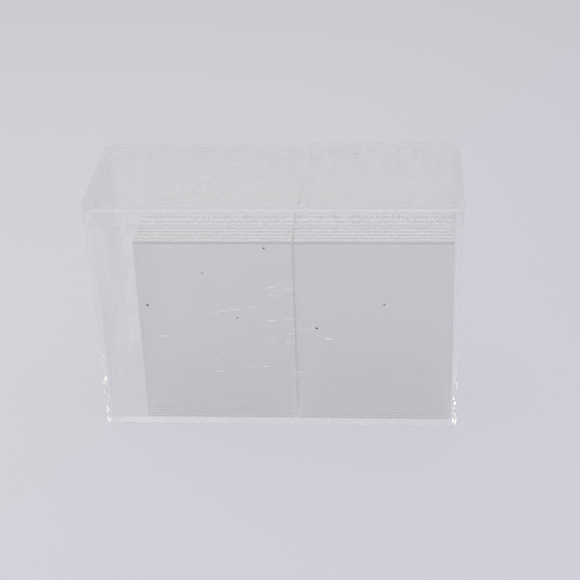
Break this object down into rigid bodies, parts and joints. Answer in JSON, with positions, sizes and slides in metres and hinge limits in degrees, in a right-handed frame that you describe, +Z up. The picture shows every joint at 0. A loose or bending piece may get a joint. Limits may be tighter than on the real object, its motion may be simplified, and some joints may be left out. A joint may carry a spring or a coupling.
{
  "type": "hemocytometer cover glass box",
  "caption": "Clear plastic box with a shallow lift-off lid, holding two side-by-side stacks of loose rectangular cover glasses for a blood-counting chamber, on edge.",
  "frame": {"origin": "centre of the box's underside", "axes": "+X along the box's length, towards the full end; +Y along its depth, away from the front; +Z up, out of the lid"},
  "size_m": [0.0474, 0.019, 0.0328],
  "materials": {
    "box_base": "clear moulded polystyrene, fine scuffs",
    "lid": "clear moulded polystyrene, fine scuffs",
    "cover_glass": "clear optical glass, ground edges"
  },
  "bodies": {
    "box_base": {"box_base": "box_base"},
    "lid": {"lid": "lid"},
    "cover_glass_left_01": {"cover_glass_left_01": "cover_glass"},
    "cover_glass_left_02": {"cover_glass_left_02": "cover_glass"},
    "cover_glass_left_03": {"cover_glass_left_03": "cover_glass"},
    "cover_glass_left_04": {"cover_glass_left_04": "cover_glass"},
    "cover_glass_left_05": {"cover_glass_left_05": "cover_glass"},
    "cover_glass_left_06": {"cover_glass_left_06": "cover_glass"},
    "cover_glass_left_07": {"cover_glass_left_07": "cover_glass"},
    "cover_glass_left_08": {"cover_glass_left_08": "cover_glass"},
    "cover_glass_left_09": {"cover_glass_left_09": "cover_glass"},
    "cover_glass_left_10": {"cover_glass_left_10": "cover_glass"},
    "cover_glass_left_11": {"cover_glass_left_11": "cover_glass"},
    "cover_glass_left_12": {"cover_glass_left_12": "cover_glass"},
    "cover_glass_left_13": {"cover_glass_left_13": "cover_glass"},
    "cover_glass_left_14": {"cover_glass_left_14": "cover_glass"},
    "cover_glass_left_15": {"cover_glass_left_15": "cover_glass"},
    "cover_glass_left_16": {"cover_glass_left_16": "cover_glass"},
    "cover_glass_left_17": {"cover_glass_left_17": "cover_glass"},
    "cover_glass_left_18": {"cover_glass_left_18": "cover_glass"},
    "cover_glass_left_19": {"cover_glass_left_19": "cover_glass"},
    "cover_glass_left_20": {"cover_glass_left_20": "cover_glass"},
    "cover_glass_left_21": {"cover_glass_left_21": "cover_glass"},
    "cover_glass_left_22": {"cover_glass_left_22": "cover_glass"},
    "cover_glass_left_23": {"cover_glass_left_23": "cover_glass"},
    "cover_glass_left_24": {"cover_glass_left_24": "cover_glass"},
    "cover_glass_left_25": {"cover_glass_left_25": "cover_glass"},
    "cover_glass_right_01": {"cover_glass_right_01": "cover_glass"},
    "cover_glass_right_02": {"cover_glass_right_02": "cover_glass"},
    "cover_glass_right_03": {"cover_glass_right_03": "cover_glass"},
    "cover_glass_right_04": {"cover_glass_right_04": "cover_glass"},
    "cover_glass_right_05": {"cover_glass_right_05": "cover_glass"},
    "cover_glass_right_06": {"cover_glass_right_06": "cover_glass"},
    "cover_glass_right_07": {"cover_glass_right_07": "cover_glass"},
    "cover_glass_right_08": {"cover_glass_right_08": "cover_glass"},
    "cover_glass_right_09": {"cover_glass_right_09": "cover_glass"},
    "cover_glass_right_10": {"cover_glass_right_10": "cover_glass"},
    "cover_glass_right_11": {"cover_glass_right_11": "cover_glass"},
    "cover_glass_right_12": {"cover_glass_right_12": "cover_glass"},
    "cover_glass_right_13": {"cover_glass_right_13": "cover_glass"},
    "cover_glass_right_14": {"cover_glass_right_14": "cover_glass"},
    "cover_glass_right_15": {"cover_glass_right_15": "cover_glass"},
    "cover_glass_right_16": {"cover_glass_right_16": "cover_glass"},
    "cover_glass_right_17": {"cover_glass_right_17": "cover_glass"},
    "cover_glass_right_18": {"cover_glass_right_18": "cover_glass"},
    "cover_glass_right_19": {"cover_glass_right_19": "cover_glass"},
    "cover_glass_right_20": {"cover_glass_right_20": "cover_glass"},
    "cover_glass_right_21": {"cover_glass_right_21": "cover_glass"},
    "cover_glass_right_22": {"cover_glass_right_22": "cover_glass"},
    "cover_glass_right_23": {"cover_glass_right_23": "cover_glass"},
    "cover_glass_right_24": {"cover_glass_right_24": "cover_glass"},
    "cover_glass_right_25": {"cover_glass_right_25": "cover_glass"}
  },
  "joints": [
    {"name": "lid_lift", "type": "slide", "parent": "box_base", "child": "lid", "axis": [0, 0, 1], "range_m": [0, 0.04]},
    {"name": "cover_glass_left_01_lift", "type": "slide", "parent": "box_base", "child": "cover_glass_left_01", "axis": [0, 0, 1], "range_m": [0, 0.0045]},
    {"name": "cover_glass_left_02_lift", "type": "slide", "parent": "box_base", "child": "cover_glass_left_02", "axis": [0, 0, 1], "range_m": [0, 0.0045]},
    {"name": "cover_glass_left_03_lift", "type": "slide", "parent": "box_base", "child": "cover_glass_left_03", "axis": [0, 0, 1], "range_m": [0, 0.0045]},
    {"name": "cover_glass_left_04_lift", "type": "slide", "parent": "box_base", "child": "cover_glass_left_04", "axis": [0, 0, 1], "range_m": [0, 0.0045]},
    {"name": "cover_glass_left_05_lift", "type": "slide", "parent": "box_base", "child": "cover_glass_left_05", "axis": [0, 0, 1], "range_m": [0, 0.0045]},
    {"name": "cover_glass_left_06_lift", "type": "slide", "parent": "box_base", "child": "cover_glass_left_06", "axis": [0, 0, 1], "range_m": [0, 0.0045]},
    {"name": "cover_glass_left_07_lift", "type": "slide", "parent": "box_base", "child": "cover_glass_left_07", "axis": [0, 0, 1], "range_m": [0, 0.0045]},
    {"name": "cover_glass_left_08_lift", "type": "slide", "parent": "box_base", "child": "cover_glass_left_08", "axis": [0, 0, 1], "range_m": [0, 0.0045]},
    {"name": "cover_glass_left_09_lift", "type": "slide", "parent": "box_base", "child": "cover_glass_left_09", "axis": [0, 0, 1], "range_m": [0, 0.0045]},
    {"name": "cover_glass_left_10_lift", "type": "slide", "parent": "box_base", "child": "cover_glass_left_10", "axis": [0, 0, 1], "range_m": [0, 0.0045]},
    {"name": "cover_glass_left_11_lift", "type": "slide", "parent": "box_base", "child": "cover_glass_left_11", "axis": [0, 0, 1], "range_m": [0, 0.0045]},
    {"name": "cover_glass_left_12_lift", "type": "slide", "parent": "box_base", "child": "cover_glass_left_12", "axis": [0, 0, 1], "range_m": [0, 0.0045]},
    {"name": "cover_glass_left_13_lift", "type": "slide", "parent": "box_base", "child": "cover_glass_left_13", "axis": [0, 0, 1], "range_m": [0, 0.0045]},
    {"name": "cover_glass_left_14_lift", "type": "slide", "parent": "box_base", "child": "cover_glass_left_14", "axis": [0, 0, 1], "range_m": [0, 0.0045]},
    {"name": "cover_glass_left_15_lift", "type": "slide", "parent": "box_base", "child": "cover_glass_left_15", "axis": [0, 0, 1], "range_m": [0, 0.0045]},
    {"name": "cover_glass_left_16_lift", "type": "slide", "parent": "box_base", "child": "cover_glass_left_16", "axis": [0, 0, 1], "range_m": [0, 0.0045]},
    {"name": "cover_glass_left_17_lift", "type": "slide", "parent": "box_base", "child": "cover_glass_left_17", "axis": [0, 0, 1], "range_m": [0, 0.0045]},
    {"name": "cover_glass_left_18_lift", "type": "slide", "parent": "box_base", "child": "cover_glass_left_18", "axis": [0, 0, 1], "range_m": [0, 0.0045]},
    {"name": "cover_glass_left_19_lift", "type": "slide", "parent": "box_base", "child": "cover_glass_left_19", "axis": [0, 0, 1], "range_m": [0, 0.0045]},
    {"name": "cover_glass_left_20_lift", "type": "slide", "parent": "box_base", "child": "cover_glass_left_20", "axis": [0, 0, 1], "range_m": [0, 0.0045]},
    {"name": "cover_glass_left_21_lift", "type": "slide", "parent": "box_base", "child": "cover_glass_left_21", "axis": [0, 0, 1], "range_m": [0, 0.0045]},
    {"name": "cover_glass_left_22_lift", "type": "slide", "parent": "box_base", "child": "cover_glass_left_22", "axis": [0, 0, 1], "range_m": [0, 0.0045]},
    {"name": "cover_glass_left_23_lift", "type": "slide", "parent": "box_base", "child": "cover_glass_left_23", "axis": [0, 0, 1], "range_m": [0, 0.0045]},
    {"name": "cover_glass_left_24_lift", "type": "slide", "parent": "box_base", "child": "cover_glass_left_24", "axis": [0, 0, 1], "range_m": [0, 0.0045]},
    {"name": "cover_glass_left_25_lift", "type": "slide", "parent": "box_base", "child": "cover_glass_left_25", "axis": [0, 0, 1], "range_m": [0, 0.0045]},
    {"name": "cover_glass_right_01_lift", "type": "slide", "parent": "box_base", "child": "cover_glass_right_01", "axis": [0, 0, 1], "range_m": [0, 0.0045]},
    {"name": "cover_glass_right_02_lift", "type": "slide", "parent": "box_base", "child": "cover_glass_right_02", "axis": [0, 0, 1], "range_m": [0, 0.0045]},
    {"name": "cover_glass_right_03_lift", "type": "slide", "parent": "box_base", "child": "cover_glass_right_03", "axis": [0, 0, 1], "range_m": [0, 0.0045]},
    {"name": "cover_glass_right_04_lift", "type": "slide", "parent": "box_base", "child": "cover_glass_right_04", "axis": [0, 0, 1], "range_m": [0, 0.0045]},
    {"name": "cover_glass_right_05_lift", "type": "slide", "parent": "box_base", "child": "cover_glass_right_05", "axis": [0, 0, 1], "range_m": [0, 0.0045]},
    {"name": "cover_glass_right_06_lift", "type": "slide", "parent": "box_base", "child": "cover_glass_right_06", "axis": [0, 0, 1], "range_m": [0, 0.0045]},
    {"name": "cover_glass_right_07_lift", "type": "slide", "parent": "box_base", "child": "cover_glass_right_07", "axis": [0, 0, 1], "range_m": [0, 0.0045]},
    {"name": "cover_glass_right_08_lift", "type": "slide", "parent": "box_base", "child": "cover_glass_right_08", "axis": [0, 0, 1], "range_m": [0, 0.0045]},
    {"name": "cover_glass_right_09_lift", "type": "slide", "parent": "box_base", "child": "cover_glass_right_09", "axis": [0, 0, 1], "range_m": [0, 0.0045]},
    {"name": "cover_glass_right_10_lift", "type": "slide", "parent": "box_base", "child": "cover_glass_right_10", "axis": [0, 0, 1], "range_m": [0, 0.0045]},
    {"name": "cover_glass_right_11_lift", "type": "slide", "parent": "box_base", "child": "cover_glass_right_11", "axis": [0, 0, 1], "range_m": [0, 0.0045]},
    {"name": "cover_glass_right_12_lift", "type": "slide", "parent": "box_base", "child": "cover_glass_right_12", "axis": [0, 0, 1], "range_m": [0, 0.0045]},
    {"name": "cover_glass_right_13_lift", "type": "slide", "parent": "box_base", "child": "cover_glass_right_13", "axis": [0, 0, 1], "range_m": [0, 0.0045]},
    {"name": "cover_glass_right_14_lift", "type": "slide", "parent": "box_base", "child": "cover_glass_right_14", "axis": [0, 0, 1], "range_m": [0, 0.0045]},
    {"name": "cover_glass_right_15_lift", "type": "slide", "parent": "box_base", "child": "cover_glass_right_15", "axis": [0, 0, 1], "range_m": [0, 0.0045]},
    {"name": "cover_glass_right_16_lift", "type": "slide", "parent": "box_base", "child": "cover_glass_right_16", "axis": [0, 0, 1], "range_m": [0, 0.0045]},
    {"name": "cover_glass_right_17_lift", "type": "slide", "parent": "box_base", "child": "cover_glass_right_17", "axis": [0, 0, 1], "range_m": [0, 0.0045]},
    {"name": "cover_glass_right_18_lift", "type": "slide", "parent": "box_base", "child": "cover_glass_right_18", "axis": [0, 0, 1], "range_m": [0, 0.0045]},
    {"name": "cover_glass_right_19_lift", "type": "slide", "parent": "box_base", "child": "cover_glass_right_19", "axis": [0, 0, 1], "range_m": [0, 0.0045]},
    {"name": "cover_glass_right_20_lift", "type": "slide", "parent": "box_base", "child": "cover_glass_right_20", "axis": [0, 0, 1], "range_m": [0, 0.0045]},
    {"name": "cover_glass_right_21_lift", "type": "slide", "parent": "box_base", "child": "cover_glass_right_21", "axis": [0, 0, 1], "range_m": [0, 0.0045]},
    {"name": "cover_glass_right_22_lift", "type": "slide", "parent": "box_base", "child": "cover_glass_right_22", "axis": [0, 0, 1], "range_m": [0, 0.0045]},
    {"name": "cover_glass_right_23_lift", "type": "slide", "parent": "box_base", "child": "cover_glass_right_23", "axis": [0, 0, 1], "range_m": [0, 0.0045]},
    {"name": "cover_glass_right_24_lift", "type": "slide", "parent": "box_base", "child": "cover_glass_right_24", "axis": [0, 0, 1], "range_m": [0, 0.0045]},
    {"name": "cover_glass_right_25_lift", "type": "slide", "parent": "box_base", "child": "cover_glass_right_25", "axis": [0, 0, 1], "range_m": [0, 0.0045]}
  ]
}
